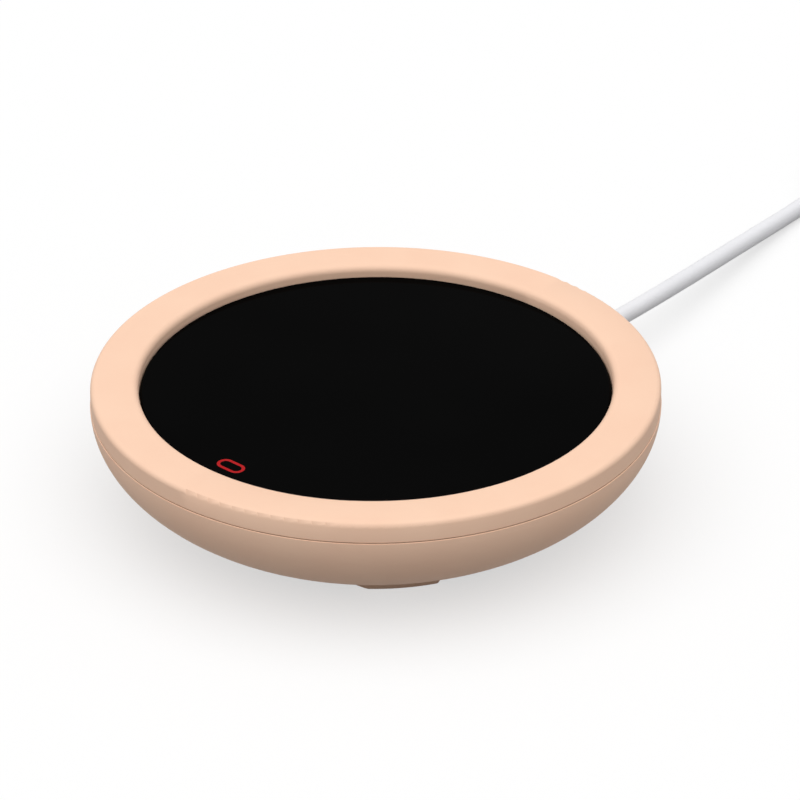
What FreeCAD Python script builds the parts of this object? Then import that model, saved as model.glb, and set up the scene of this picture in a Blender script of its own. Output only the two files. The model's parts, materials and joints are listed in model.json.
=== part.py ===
import FreeCAD, Part
import math
import os

# A round electric mug warmer: a ring and a bowl hold a black glass plate, a heater under it and
# a small control board. Millimetres, +Z up. The origin is on the table under the middle of the
# body. The touch key is at the front, -Y, and the lead leaves the back, +Y.

# Body: a ring on a bowl, turned about Z
body_radius = 60.0
body_height = 28.0
band_height = 4.4
bowl_sink = 4.9
base_gap = 2.4
shell_wall = 2.0
ring_wall = 2.6
plate_wall = 2.2
rim_round = 1.1
inside_round = 0.8
seam_depth = 0.5
seam_half = 0.15
seam_step = 0.15
tongue_length = 2.0
tongue_width = 1.1
tongue_gap = 0.15

# Glass plate in the ring, and its seat
rim_width = 10.25
lip_round = 1.45
glass_gap = 0.25
glass_recess = 2.3
glass_thickness = 3.0
glass_bevel = 0.4
gasket_thickness = 0.4
ledge_width = 2.95
ledge_thickness = 1.8
collar_wall = 2.0

# Touch key: a capsule outline set flush in the glass
key_inset = 5.75
key_length = 6.6
key_width = 3.6
key_stroke = 0.7
key_depth = 0.12

# Heater stack under the glass, from the top down
spreader_margin = 11.75
spreader_thickness = 1.0
film_inset = 1.0
film_thickness = 0.3
pad_thickness = 3.5
pad_gap = 0.3
carrier_wall = 1.4
carrier_floor = 1.5
carrier_rim = 3.2
sensor_radius = 1.1
sensor_pocket = 3.2
sensor_leg = 2.4
fuse_radius = 1.3
fuse_length = 9.0
fuse_x = 14.0
fuse_y = 8.0
fuse_room = 0.5
lead_window_inset = 20.75
lead_window_length = 15.0
lead_window_width = 6.0
carrier_screw_inset = 6.35
carrier_screw_angles = (0, 90, 180)

# Screws and the bosses that take them
screw_radius = 1.2
screw_head_radius = 2.2
screw_head_height = 1.5
screw_slot_width = 0.7
screw_slot_depth = 0.7
screw_fit = 0.05
screw_clearance = 0.25
head_clearance = 0.35
boss_wall = 1.65
web_thickness = 2.0
housing_screw_inset = 6.85
housing_screw_angles = (-45, 45, 135, 225)
housing_screw_length = 11.0
housing_well_depth = 2.525
housing_well_cover = 2.8
housing_web_depth = 6.5
short_screw_length = 4.5

# Feet: arc pads, each with a ramp at one end, pressed into seats in the underside
foot_count = 4
foot_screw_room = 3.5
foot_width = 6.4
foot_flat = 14.0
foot_ramp = 6.5
foot_toe = 1.7
foot_start_angle = -49.9
foot_edge_round = 0.5
foot_seat = 0.6
foot_fit = 0.1
foot_peg_radius = 1.3
foot_peg_spacing = 8.0
foot_peg_tip = 0.8
foot_cut_spare = 2.0

# Stiffening ribs inside the bowl
rib_count = 8
rib_thickness = 1.2
rib_height = 2.2
rib_ring_radius = 21.0

# Control board, held on three posts near the key
board_gap = 0.814
board_half_width = 24.0
board_depth = 27.0
board_thickness = 1.6
board_post_height = 4.2
board_holes = ((-20.0, 22.0), (20.0, 22.0), (-15.0, 7.0))

# Parts on the board. The second number of a place is how far it is from the board's front edge.
spring_radius = 2.1
spring_wire = 0.55
spring_turns = 6
spring_inset = 0.6
shroud_length = 13.4
shroud_width = 6.0
shroud_wall = 0.75
led_size = (1.6, 1.2, 0.9)
led_offset = 4.4
chip_size = (5.0, 4.0, 1.5)
chip_place = (-12.0, 16.0)
chip_lead_count = 4
chip_lead_reach = 1.0
chip_lift = 0.1
lead_frame = 0.5
transistor_size = (6.4, 6.0, 2.3)
transistor_place = (12.0, 16.0)
transistor_leg = (0.8, 2.6)
capacitor_radius = 3.1
capacitor_height = 5.4
capacitor_place = (15.0, 7.5)
capacitor_base = 0.8
capacitor_rim_round = 0.4
connector_size = (5.6, 4.2, 4.0)
connector_place = (-13.6, 24.2)
connector_floor = 1.2
connector_walls = 1.6
resistor_size = (2.0, 1.2, 0.6)
resistor_columns = (-5.0, 4.5)
resistor_rows = (20.0, 16.5, 13.0)

# Leads inside the body
core_radius = 0.65
core_spread = 0.8
core_straight = 8.0
core_rise_y = -7.0
core_pad_x = 3.2
core_pad_place = 24.6
core_drop = 2.9
heater_lead_radius = 0.6
heater_lead_x = 4.6
heater_pad_x = 8.6
heater_pad_place = 22.0
sensor_lead_radius = 0.35
sensor_lead_spread = 0.65
sensor_lead_drop = 1.1

# Lead from the wall to the plug
cord_radius = 2.0
cord_axis_z = 9.0
relief_tip_reach = 12.0
relief_tip_radius = 2.6
relief_root_radius = 3.1
relief_flange_radius = 4.0
relief_flange_inset = 22.0
relief_flange_thickness = 2.0
relief_fit = 0.1
relief_rings = 5
relief_groove_width = 1.1
relief_groove_depth = 0.5
relief_first_groove = 5.0
relief_groove_pitch = 2.6
cord_block_half = 6.5
cord_block_room = 1.3
clamp_inset = 27.0
clamp_width = 6.0
clamp_half = 11.0
clamp_height = 3.2
clamp_bite = 0.4
clamp_post_x = 7.6
jacket_end_inset = 33.0

# Route of the lead over the table, up to the coil: x, how far behind the sleeve's tip, height
cord_route = (
    (0.0, 16.0, 9.0),
    (-3.2, 39.0, 6.7),
    (-6.8, 64.0, 4.4),
)
cord_landing = 14.0
arc_share = 0.45

# Coil of the put-away length, three turns wide and three high
coil_x = 13.1
coil_reach = 132.0
coil_mean_radius = 22.0
coil_turns_wide = 3
coil_turns_high = 3
coil_entry_angle = 184.6
coil_exit_angle = 15.0
coil_lead_in = 18.0
coil_lead_out = 16.0
tail_level = 9.0
tail_fall = 16.0

# Plug on the end of the lead, lying flat
plug_nose_radius = 2.4
plug_relief_length = 10.0
plug_relief_radius = 2.9
plug_body_length = 24.0
plug_body_width = 13.6
plug_body_height = 8.0
plug_body_round = 2.4
plug_edge_round = 0.8
plug_shell_length = 12.0
plug_shell_width = 12.0
plug_shell_height = 4.5
plug_shell_wall = 0.35
plug_shell_round = 0.5
plug_window = (2.4, 2.2)
plug_window_x = 5.2
plug_window_y = 2.6
plug_tongue_height = 1.9
plug_tongue_back = 1.0
plug_contact_width = 1.1
plug_contact_length = 8.0
plug_contact_height = 0.25
plug_contact_pitch = 2.3
plug_contact_inset = 1.0

# Heights and radii worked out from the sizes above
Vec = FreeCAD.Vector
UP = Vec(0, 0, 1)
BACK = Vec(0, 1, 0)
seam_z = body_height - band_height
bowl_drop = seam_z + bowl_sink
tongue_low = seam_z - tongue_length
opening_radius = body_radius - rim_width
key_from_middle = opening_radius - key_inset
spreader_radius = opening_radius - spreader_margin
carrier_screw_circle = opening_radius - carrier_screw_inset
housing_screw_circle = opening_radius - housing_screw_inset
lead_window_y = lead_window_inset - opening_radius
foot_radius = housing_screw_circle - foot_screw_room
band_radius = body_radius - seam_step
ring_inside = body_radius - ring_wall
tongue_outside = ring_inside + tongue_width
floor_z = base_gap + shell_wall
glass_top = body_height - glass_recess
glass_low = glass_top - glass_thickness
glass_radius = opening_radius - glass_gap
ledge_top = glass_low - gasket_thickness
ledge_low = ledge_top - ledge_thickness
ledge_radius = opening_radius - ledge_width
collar_radius = opening_radius + collar_wall
film_top = glass_low - spreader_thickness
film_low = film_top - film_thickness
film_radius = spreader_radius - film_inset
pad_low = film_low - pad_thickness
carrier_low = pad_low - carrier_floor
board_low = floor_z + board_post_height
board_top = board_low + board_thickness
core_high_z = carrier_low - core_drop
sensor_lead_z = carrier_low - sensor_lead_drop
cord_block_top = carrier_low - screw_head_height - cord_block_room
relief_tip_y = body_radius + relief_tip_reach
relief_flange_y = body_radius - relief_flange_inset
clamp_y = body_radius - clamp_inset
jacket_end_y = body_radius - jacket_end_inset
coil_y = body_radius + coil_reach
spring_y = spring_inset - key_from_middle
boss_radius = screw_radius + boss_wall
shell_boss_radius = screw_head_radius + head_clearance + boss_wall / 2
cord_thickness = 2 * cord_radius
plug_z = plug_body_height / 2


def bowl_radius_at(z, inset=0):
    """Radius of the bowl's side at a height, or of the same curve inside its wall."""
    return (body_radius - inset) * math.sqrt(1 - ((seam_z - z) / (bowl_drop - inset)) ** 2)


def bowl_height_at(r):
    return seam_z - bowl_drop * math.sqrt(1 - (r / body_radius) ** 2)


board_radius = bowl_radius_at(board_low, shell_wall) - board_gap
housing_well_roof = bowl_height_at(housing_screw_circle) + housing_well_depth
housing_boss_top = housing_well_roof + housing_well_cover
housing_web_low = ledge_low - housing_web_depth


def on_board(place):
    """Middle of a part on the board, from its x and how far it is from the board's front edge."""
    return place[0], place[1] - board_radius


def section_point(r, z):
    return Vec(r, 0, z)


def plan_point(x, y):
    return Vec(x, y, 0)


def rounded_wire(corners, place):
    """Closed wire through corners (a, b, round); place turns a and b into a point."""
    turns = []
    for number, (a, b, radius) in enumerate(corners):
        here = place(a, b)
        before = place(*corners[number - 1][:2])
        after = place(*corners[(number + 1) % len(corners)][:2])
        into = (here - before).normalize()
        out = (after - here).normalize()
        if radius == 0:
            turns.append((here, None, here))
            continue
        half = into.getAngle(out) / 2
        reach = radius * math.tan(half)
        inward = (out - into).normalize()
        middle = here + inward * (radius / math.cos(half) - radius)
        turns.append((here - into * reach, middle, here + out * reach))
    edges = []
    for number, (start, middle, end) in enumerate(turns):
        if middle is not None:
            edges.append(Part.Arc(start, middle, end).toShape())
        onward = turns[(number + 1) % len(turns)][0]
        if (onward - end).Length > 1e-6:
            edges.append(Part.makeLine(end, onward))
    return Part.Wire(edges)


def spun(corners, turn=360):
    """Solid from a half section in r and z, turned about Z."""
    return Part.Face(rounded_wire(corners, section_point)).revolve(Vec(0, 0, 0), UP, turn)


def sheet(corners, low, high):
    """Flat piece from an outline in x and y, between two heights."""
    face = Part.Face(rounded_wire(corners, plan_point))
    face.translate(UP * low)
    return face.extrude(UP * (high - low))


def oblong(x, y, length, width, radius):
    """Corners of a rectangle about (x, y) with all four rounded."""
    half_l = length / 2
    half_w = width / 2
    return [
        (x - half_l, y - half_w, radius),
        (x + half_l, y - half_w, radius),
        (x + half_l, y + half_w, radius),
        (x - half_l, y + half_w, radius),
    ]


def post(x, y, radius, low, high):
    return Part.makeCylinder(radius, high - low, Vec(x, y, low))


def block(x, y, low, length, width, height):
    """Box whose middle is over (x, y), standing on the height low."""
    return Part.makeBox(length, width, height, Vec(x - length / 2, y - width / 2, low))


def polar(radius, angle):
    turn = math.radians(angle)
    return radius * math.cos(turn), radius * math.sin(turn)


def turned(shape, angle):
    copy = shape.copy()
    copy.rotate(Vec(0, 0, 0), UP, angle)
    return copy


def joined(first, others):
    return first.multiFuse(others).removeSplitter()


def bowl(inset, low):
    """Filled bowl with an elliptical side, from the height low up to the seam."""
    wide = body_radius - inset
    deep = bowl_drop - inset
    ellipse = Part.Ellipse(Vec(wide, 0, seam_z), Vec(0, 0, seam_z - deep), Vec(0, 0, seam_z))
    stop = math.asin((seam_z - low) / deep)
    side = Part.Arc(ellipse, 0, stop).toShape()
    corner = section_point(wide * math.cos(stop), low)
    edges = [
        side,
        Part.makeLine(corner, section_point(0, low)),
        Part.makeLine(section_point(0, low), section_point(0, seam_z)),
        Part.makeLine(section_point(0, seam_z), section_point(wide, seam_z)),
    ]
    return Part.Face(Part.Wire(edges)).revolve(Vec(0, 0, 0), UP, 360)


def tube(points, radius, name=None):
    """Round tube on straight runs joined by arcs as large as the two runs beside them allow."""
    edges = []
    radii = []
    here = points[0]
    for before, corner, after in zip(points, points[1:], points[2:]):
        into = corner - before
        out = after - corner
        reach = arc_share * min(into.Length, out.Length)
        half = into.getAngle(out) / 2
        bend = reach / math.tan(half)
        into.normalize()
        out.normalize()
        inward = (out - into).normalize()
        middle = corner + inward * (bend / math.cos(half) - bend)
        start = corner - into * reach
        end = corner + out * reach
        edges.append(Part.LineSegment(here, start).toShape())
        edges.append(Part.Arc(start, middle, end).toShape())
        radii.append(bend)
        here = end
    edges.append(Part.LineSegment(here, points[-1]).toShape())
    path = Part.Wire(edges)
    ring = Part.Wire([Part.makeCircle(radius, points[0], points[1] - points[0])])
    solid = path.makePipeShell([ring], True, False)
    if name:
        share = solid.Volume / (math.pi * radius**2 * path.Length)
        print(name, "length", round(path.Length, 1), "arc radii", [round(bend) for bend in radii])
        print(name, "volume over that of a straight bar", round(share, 4))
    return solid


def screw(x, y, seat_z, length, points_up):
    """Slotted pan-head screw. Its head bears on seat_z and its shank goes up or down from there."""
    way = 1 if points_up else -1
    axis = Vec(0, 0, way)
    seat = Vec(x, y, seat_z)
    shank = Part.makeCylinder(screw_radius, length, seat, axis)
    head = Part.makeCylinder(screw_head_radius, screw_head_height, seat, axis * -1)
    top_z = seat_z - way * screw_head_height
    slot_low = min(top_z, top_z + way * screw_slot_depth)
    slot = block(x, y, slot_low, 2 * screw_head_radius + 1, screw_slot_width, screw_slot_depth)
    return head.fuse(shank).removeSplitter().cut(slot)


def ring_boss(angle, circle, low, web_low):
    """Boss under the ring's ledge, tied to the collar by a web."""
    column = post(circle, 0, boss_radius, low, ledge_low)
    reach = collar_radius - circle
    web = block(circle + reach / 2, 0, web_low, reach, web_thickness, ledge_low - web_low)
    return turned(column.fuse(web), angle)


def bezel_ring():
    """Top ring: flat rim, side band, collar and ledge round the glass, tongue and screw bosses."""
    ring = spun([
        (body_radius - seam_depth, seam_z, 0),
        (band_radius, seam_z + seam_half, 0),
        (band_radius, body_height, rim_round),
        (opening_radius, body_height, lip_round),
        (opening_radius, ledge_top, 0),
        (ledge_radius, ledge_top, 0),
        (ledge_radius, ledge_low, 0),
        (collar_radius, ledge_low, 0),
        (collar_radius, body_height - plate_wall, inside_round),
        (ring_inside, body_height - plate_wall, inside_round),
        (ring_inside, tongue_low, 0),
        (tongue_outside, tongue_low, 0),
        (tongue_outside, seam_z, 0),
    ])
    bosses = [
        ring_boss(angle, housing_screw_circle, housing_boss_top, housing_web_low)
        for angle in housing_screw_angles
    ]
    bosses += [
        ring_boss(angle, carrier_screw_circle, pad_low, pad_low)
        for angle in carrier_screw_angles
    ]
    ring = joined(ring, bosses)
    hole = screw_radius + screw_fit
    housing_depth = housing_well_roof + housing_screw_length + screw_clearance
    for angle in housing_screw_angles:
        ring = ring.cut(post(*polar(housing_screw_circle, angle), hole, housing_boss_top, housing_depth))
    carrier_depth = carrier_low + short_screw_length
    for angle in carrier_screw_angles:
        ring = ring.cut(post(*polar(carrier_screw_circle, angle), hole, pad_low, carrier_depth))
    return ring


def foot_angles():
    """Start and end angle of a foot at its seat, and of its flat sole."""
    per_mm = math.degrees(1 / foot_radius)
    sole_end = foot_start_angle + foot_flat * per_mm
    return foot_start_angle - foot_ramp * per_mm, sole_end + foot_toe * per_mm, sole_end


def foot_pad(grow, low, high, edge_round):
    """Arc pad between two heights, grown all round by a fit."""
    first, last, _ = foot_angles()
    inner = foot_radius - foot_width - grow
    outer = foot_radius + grow
    extra = math.degrees(grow / foot_radius)
    pad = spun([
        (inner, low, edge_round),
        (outer, low, edge_round),
        (outer, high, 0),
        (inner, high, 0),
    ], last - first + 2 * extra)
    return turned(pad, first - extra)


def foot_pegs(radius, low, high):
    """Two pegs that hold a foot, on the middle line of its pad."""
    _, sole_end, _ = foot_angles()
    circle = foot_radius - foot_width / 2
    middle = foot_start_angle + math.degrees(foot_flat / 2 / foot_radius)
    swing = math.degrees(foot_peg_spacing / 2 / circle)
    return [post(*polar(circle, middle + side * swing), radius, low, high) for side in (-1, 1)]


def end_wedge(angle, run, way):
    """What is cut off a foot's end below its ramp; way is -1 for the clockwise end."""
    reach = run + foot_cut_spare
    corners = [
        Vec(0, 0, 0),
        Vec(0, way * reach, 0),
        Vec(0, way * reach, base_gap * reach / run),
        Vec(0, 0, 0),
    ]
    length = foot_width + 2 * foot_cut_spare
    wedge = Part.Face(Part.makePolygon(corners)).extrude(Vec(length, 0, 0))
    wedge.translate(Vec(foot_radius - foot_width - foot_cut_spare, 0, 0))
    return turned(wedge, angle)


def foot():
    """One arc foot: long ramp at its clockwise end, steep toe at the other, two pegs on top."""
    _, _, sole_end = foot_angles()
    pad = foot_pad(0, 0, base_gap + foot_seat, foot_edge_round)
    pad = pad.cut(end_wedge(foot_start_angle, foot_ramp, -1))
    pad = pad.cut(end_wedge(sole_end, foot_toe, 1))
    pegs = foot_pegs(foot_peg_radius, base_gap + foot_seat, floor_z + foot_peg_tip)
    return joined(pad, pegs)


def cord_bore(radius, start, end):
    return Part.makeCylinder(radius, end - start, Vec(0, start, cord_axis_z), BACK)


def lower_shell():
    """Bowl: lip for the ring's tongue, ribs, screw bosses, board posts and the lead's saddle."""
    outside = bowl(0, base_gap)
    shell = outside.cut(bowl(shell_wall, floor_z))
    lip_inside = tongue_outside + tongue_gap
    lip_recess = spun([
        (ring_inside - 2, tongue_low - tongue_gap, 0),
        (lip_inside, tongue_low - tongue_gap, 0),
        (lip_inside, seam_z + 1, 0),
        (ring_inside - 2, seam_z + 1, 0),
    ])
    seam_cut = spun([
        (body_radius - seam_depth, seam_z, 0),
        (body_radius + seam_depth, seam_z - 2 * seam_half, 0),
        (body_radius + seam_depth, seam_z + 1, 0),
        (body_radius - seam_depth, seam_z + 1, 0),
    ])
    shell = shell.cut(lip_recess).cut(seam_cut)

    rib_top = floor_z + rib_height
    rib_start = rib_ring_radius - rib_thickness / 2
    rib_reach = body_radius - rib_start
    rib = block(rib_start + rib_reach / 2, 0, base_gap, rib_reach, rib_thickness, rib_top - base_gap)
    added = [turned(rib, (number + 0.5) * 360 / rib_count) for number in range(rib_count)]
    added.append(spun([
        (rib_ring_radius - rib_thickness, base_gap, 0),
        (rib_ring_radius, base_gap, 0),
        (rib_ring_radius, rib_top, 0),
        (rib_ring_radius - rib_thickness, rib_top, 0),
    ]))
    for angle in housing_screw_angles:
        added.append(post(*polar(housing_screw_circle, angle), shell_boss_radius, 0, housing_boss_top))
    for x, y in map(on_board, board_holes):
        added.append(post(x, y, boss_radius, 0, board_low))
    clamp_seat = cord_axis_z + clamp_bite
    for side in (-1, 1):
        added.append(post(side * clamp_post_x, clamp_y, boss_radius, 0, clamp_seat))
    added.append(block(0, clamp_y, 0, 2 * clamp_post_x, clamp_width, cord_axis_z))
    block_start = relief_flange_y + relief_flange_thickness
    block_reach = body_radius - block_start
    block_y = block_start + block_reach / 2
    added.append(block(0, block_y, 0, 2 * cord_block_half, block_reach, cord_block_top))
    shell = joined(shell, [piece.common(outside) for piece in added])

    well = screw_head_radius + head_clearance
    for angle in housing_screw_angles:
        place = polar(housing_screw_circle, angle)
        shell = shell.cut(post(*place, well, 0, housing_well_roof))
        shell = shell.cut(post(*place, screw_radius + screw_clearance, 0, housing_boss_top + 1))
    hole = screw_radius + screw_fit
    for x, y in map(on_board, board_holes):
        shell = shell.cut(post(x, y, hole, board_top - short_screw_length - screw_clearance, board_low + 1))
    clamp_hole_low = clamp_seat + clamp_height - clamp_screw_length() - screw_clearance
    for side in (-1, 1):
        shell = shell.cut(post(side * clamp_post_x, clamp_y, hole, clamp_hole_low, clamp_seat + 1))
    saddle_start = clamp_y - clamp_width
    shell = shell.cut(cord_bore(cord_radius, saddle_start, clamp_y + clamp_width))
    shell = shell.cut(cord_bore(relief_root_radius + relief_fit, relief_flange_y, body_radius))
    for number in range(foot_count):
        seat = foot_pad(foot_fit, 0, base_gap + foot_seat, 0)
        pegs = foot_pegs(foot_peg_radius + screw_fit, 0, floor_z + 1)
        shell = shell.cut(turned(joined(seat, pegs), number * 360 / foot_count))
    return shell


def clamp_screw_length():
    return short_screw_length + clamp_height


def glass_panel():
    """Black glass disc with bevelled edges and a shallow capsule groove for the key's mark."""
    disc = spun([
        (0, glass_low, 0),
        (glass_radius - glass_bevel, glass_low, 0),
        (glass_radius, glass_low + glass_bevel, 0),
        (glass_radius, glass_top - glass_bevel, 0),
        (glass_radius - glass_bevel, glass_top, 0),
        (0, glass_top, 0),
    ])
    return disc.cut(touch_mark())


def capsule(inset, low, high):
    length = key_length - 2 * inset
    width = key_width - 2 * inset
    return sheet(oblong(0, -key_from_middle, length, width, width / 2), low, high)


def touch_mark():
    """Capsule outline of coloured enamel, level with the glass."""
    low = glass_top - key_depth
    return capsule(0, low, glass_top).cut(capsule(key_stroke, low - 1, glass_top + 1))


def glass_gasket():
    """Flat adhesive ring between the glass and the ledge."""
    return spun([
        (ledge_radius, ledge_top, 0),
        (glass_radius, ledge_top, 0),
        (glass_radius, glass_low, 0),
        (ledge_radius, glass_low, 0),
    ]).cut(glass_panel_edge())


def glass_panel_edge():
    """Room that the glass's lower bevel leaves over the gasket's rim."""
    return spun([
        (glass_radius - glass_bevel, ledge_top - 1, 0),
        (glass_radius + 1, ledge_top - 1, 0),
        (glass_radius + 1, glass_low + 1, 0),
        (glass_radius - glass_bevel, glass_low + 1, 0),
    ])


def heat_spreader():
    return post(0, 0, spreader_radius, film_top, glass_low)


def heating_film():
    """Foil heater bonded under the spreader, with a window for the sensor's bead."""
    return post(0, 0, film_radius, film_low, film_top)


def fuse_slot(grow, low, high):
    length = fuse_length + 2 * grow
    width = 2 * (fuse_radius + grow)
    return sheet(oblong(fuse_x, fuse_y, width, length, width / 2), low, high)


def lead_window(low, high):
    corners = oblong(0, lead_window_y, lead_window_length, lead_window_width, lead_window_width / 2)
    return sheet(corners, low, high)


def insulation_pad():
    """Felt disc that keeps the heat off the board, cut out round the sensor, fuse and leads."""
    pad = post(0, 0, film_radius - pad_gap, pad_low, film_low)
    pad = pad.cut(post(0, 0, sensor_pocket, pad_low - 1, film_low + 1))
    pad = pad.cut(fuse_slot(fuse_room, pad_low - 1, film_low + 1))
    return pad.cut(lead_window(pad_low - 1, film_low + 1))


def heater_carrier():
    """Dish that presses the pad up, with three ears screwed to the ring."""
    rim_inside = film_radius
    rim_outside = rim_inside + carrier_wall
    dish = spun([
        (0, carrier_low, 0),
        (rim_outside, carrier_low, inside_round),
        (rim_outside, pad_low + carrier_rim, 0),
        (rim_inside, pad_low + carrier_rim, 0),
        (rim_inside, pad_low, 0),
        (0, pad_low, 0),
    ])
    reach = carrier_screw_circle - rim_inside
    ears = []
    for angle in carrier_screw_angles:
        arm = block(rim_inside + reach / 2, 0, carrier_low, reach, 2 * boss_radius, carrier_floor)
        tip = post(carrier_screw_circle, 0, boss_radius, carrier_low, pad_low)
        ears.append(turned(arm.fuse(tip), angle))
    dish = joined(dish, ears)
    for angle in carrier_screw_angles:
        hole = screw_radius + screw_clearance
        dish = dish.cut(post(*polar(carrier_screw_circle, angle), hole, carrier_low - 1, pad_low + 1))
    dish = dish.cut(post(0, 0, sensor_pocket, carrier_low - 1, pad_low + 1))
    dish = dish.cut(lead_window(carrier_low - 1, pad_low + 1))
    return dish


def thermistor():
    """Glass bead against the film, with the start of its two legs."""
    middle = film_low - sensor_radius
    bead = Part.makeSphere(sensor_radius, Vec(0, 0, middle))
    legs = [
        post(side * sensor_lead_spread, 0, sensor_lead_radius / 2, middle - sensor_leg, middle)
        for side in (-1, 1)
    ]
    return joined(bead, legs)


def thermal_fuse():
    """Small axial cut-out lying against the film in its slot."""
    start = Vec(fuse_x, fuse_y - fuse_length / 2, film_low - fuse_radius)
    return Part.makeCylinder(fuse_radius, fuse_length, start, BACK)


def board_outline(low, high):
    half = board_half_width
    strip = Part.makeBox(2 * half, board_depth, high - low, Vec(-half, -board_radius, low))
    return post(0, 0, board_radius, low, high).common(strip)


def control_board():
    board = board_outline(board_low, board_top)
    for x, y in map(on_board, board_holes):
        board = board.cut(post(x, y, screw_radius + screw_clearance, board_low - 1, board_top + 1))
    return board


def touch_spring():
    """Coil spring that joins the board to the underside of the glass behind the key."""
    wire = spring_wire / 2
    low = board_top + wire
    height = glass_low - board_top - spring_wire
    helix = Part.makeHelix(height / spring_turns, height, spring_radius - wire)
    helix.translate(Vec(0, spring_y, low))
    start = Vec(spring_radius - wire, spring_y, low)
    ring = Part.Wire([Part.makeCircle(wire, start, BACK)])
    return Part.Wire(helix.Edges).makePipeShell([ring], True, True)


def light_shroud():
    """White oval tube round the spring and lamps, from the board to the glass."""
    outer = sheet(
        oblong(0, spring_y, shroud_length, shroud_width, shroud_width / 2), board_top, glass_low
    )
    length = shroud_length - 2 * shroud_wall
    width = shroud_width - 2 * shroud_wall
    inner = sheet(oblong(0, spring_y, length, width, width / 2), board_top - 1, glass_low + 1)
    return outer.cut(inner)


def indicator_leds():
    return Part.makeCompound([
        block(side * led_offset, spring_y, board_top, *led_size) for side in (-1, 1)
    ])


def touch_chip():
    """Small chip with a row of legs on each side."""
    length, width, height = chip_size
    x, y = on_board(chip_place)
    body = block(x, y, board_top + chip_lift, length, width, height - chip_lift)
    legs = []
    pitch = length / chip_lead_count
    for number in range(chip_lead_count):
        leg_x = x + (number - (chip_lead_count - 1) / 2) * pitch
        legs.append(block(leg_x, y, board_top, pitch / 3, width + 2 * chip_lead_reach, lead_frame))
    return joined(body, legs)


def power_transistor():
    """Flat power part on its metal tab."""
    length, width, height = transistor_size
    x, y = on_board(transistor_place)
    body = block(x, y, board_top + lead_frame, length, width, height - lead_frame)
    tab = block(x, y + width / 4, board_top, length - 1, width, lead_frame)
    base = block(x, y - width / 4, board_top, length - 1, width / 2, lead_frame)
    leg_y = y - width / 2 - 1
    legs = [
        block(x + side * length / 3, leg_y, board_top, *transistor_leg, lead_frame)
        for side in (-1, 1)
    ]
    return joined(body, [tab, base, *legs])


def filter_capacitor():
    """Round can on a square base."""
    x, y = on_board(capacitor_place)
    side = 2 * capacitor_radius
    base_top = board_top + capacitor_base
    base = sheet(oblong(x, y, side, side, capacitor_radius / 4), board_top, base_top)
    can_radius = 0.9 * capacitor_radius
    can = spun([
        (0, base_top, 0),
        (can_radius, base_top, 0),
        (can_radius, board_top + capacitor_height, capacitor_rim_round),
        (0, board_top + capacitor_height, 0),
    ])
    can.translate(Vec(x, y, 0))
    return base.fuse(can)


def board_connector():
    """Two-way socket for the sensor's leads, with room above for its plug."""
    length, width, height = connector_size
    x, y = on_board(connector_place)
    body = block(x, y, board_top, length, width, height)
    inside = (length - connector_walls, width - connector_walls, height)
    mouth = block(x, y, board_top + connector_floor, *inside)
    return body.cut(mouth)


def chip_resistors():
    places = [on_board((x, row)) for x in resistor_columns for row in resistor_rows]
    return Part.makeCompound([block(x, y, board_top, *resistor_size) for x, y in places])


def supply_core(side):
    """One of the two cores of the lead, from the end of its jacket to the board."""
    x, y = on_board((side * core_pad_x, core_pad_place))
    return tube([
        Vec(side * core_spread, jacket_end_y, cord_axis_z),
        Vec(side * core_spread, jacket_end_y - core_straight, cord_axis_z),
        Vec(x, core_rise_y, core_high_z),
        Vec(x, y, core_high_z),
        Vec(x, y, board_top),
    ], core_radius)


def heater_lead(side):
    """One lead from the heating film down to the board."""
    drop_z = (film_low + board_top) / 2
    x, y = on_board((side * heater_pad_x, heater_pad_place))
    return tube([
        Vec(side * heater_lead_x, lead_window_y, film_low),
        Vec(side * heater_lead_x, lead_window_y, drop_z + 2),
        Vec(x, y, drop_z - 2),
        Vec(x, y, board_top),
    ], heater_lead_radius)


def sensor_lead(side):
    """One lead of the sensor, under the dish and down into the socket on the board."""
    x, y = on_board(connector_place)
    start_z = film_low - sensor_radius - sensor_leg
    low = board_top + connector_floor
    return tube([
        Vec(side * sensor_lead_spread, 0, start_z),
        Vec(side * sensor_lead_spread, 0, sensor_lead_z),
        Vec(x + side * sensor_lead_spread * 2, y, sensor_lead_z),
        Vec(x + side * sensor_lead_spread * 2, y, low),
    ], sensor_lead_radius)


def cord_clamp():
    """Bar over the lead, hollowed to grip it, on two posts."""
    low = cord_axis_z + clamp_bite
    corners = oblong(0, clamp_y, 2 * clamp_half, clamp_width, clamp_width / 2)
    bar = sheet(corners, low, low + clamp_height)
    bar = bar.cut(cord_bore(cord_radius, clamp_y - clamp_width, clamp_y + clamp_width))
    for side in (-1, 1):
        hole = screw_radius + screw_clearance
        bar = bar.cut(post(side * clamp_post_x, clamp_y, hole, low - 1, low + clamp_height + 1))
    return bar


def along_lead(profile):
    """Solid from a half section in r and y, turned about the lead's own axis where it leaves."""
    shape = spun([(radius, y, corner) for y, radius, corner in profile])
    shape.rotate(Vec(0, 0, 0), Vec(1, 0, 0), -90)
    shape.translate(Vec(0, 0, cord_axis_z))
    return shape


def taper(y, start_y, end_y, start_radius, end_radius):
    return start_radius + (y - start_y) / (end_y - start_y) * (end_radius - start_radius)


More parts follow.
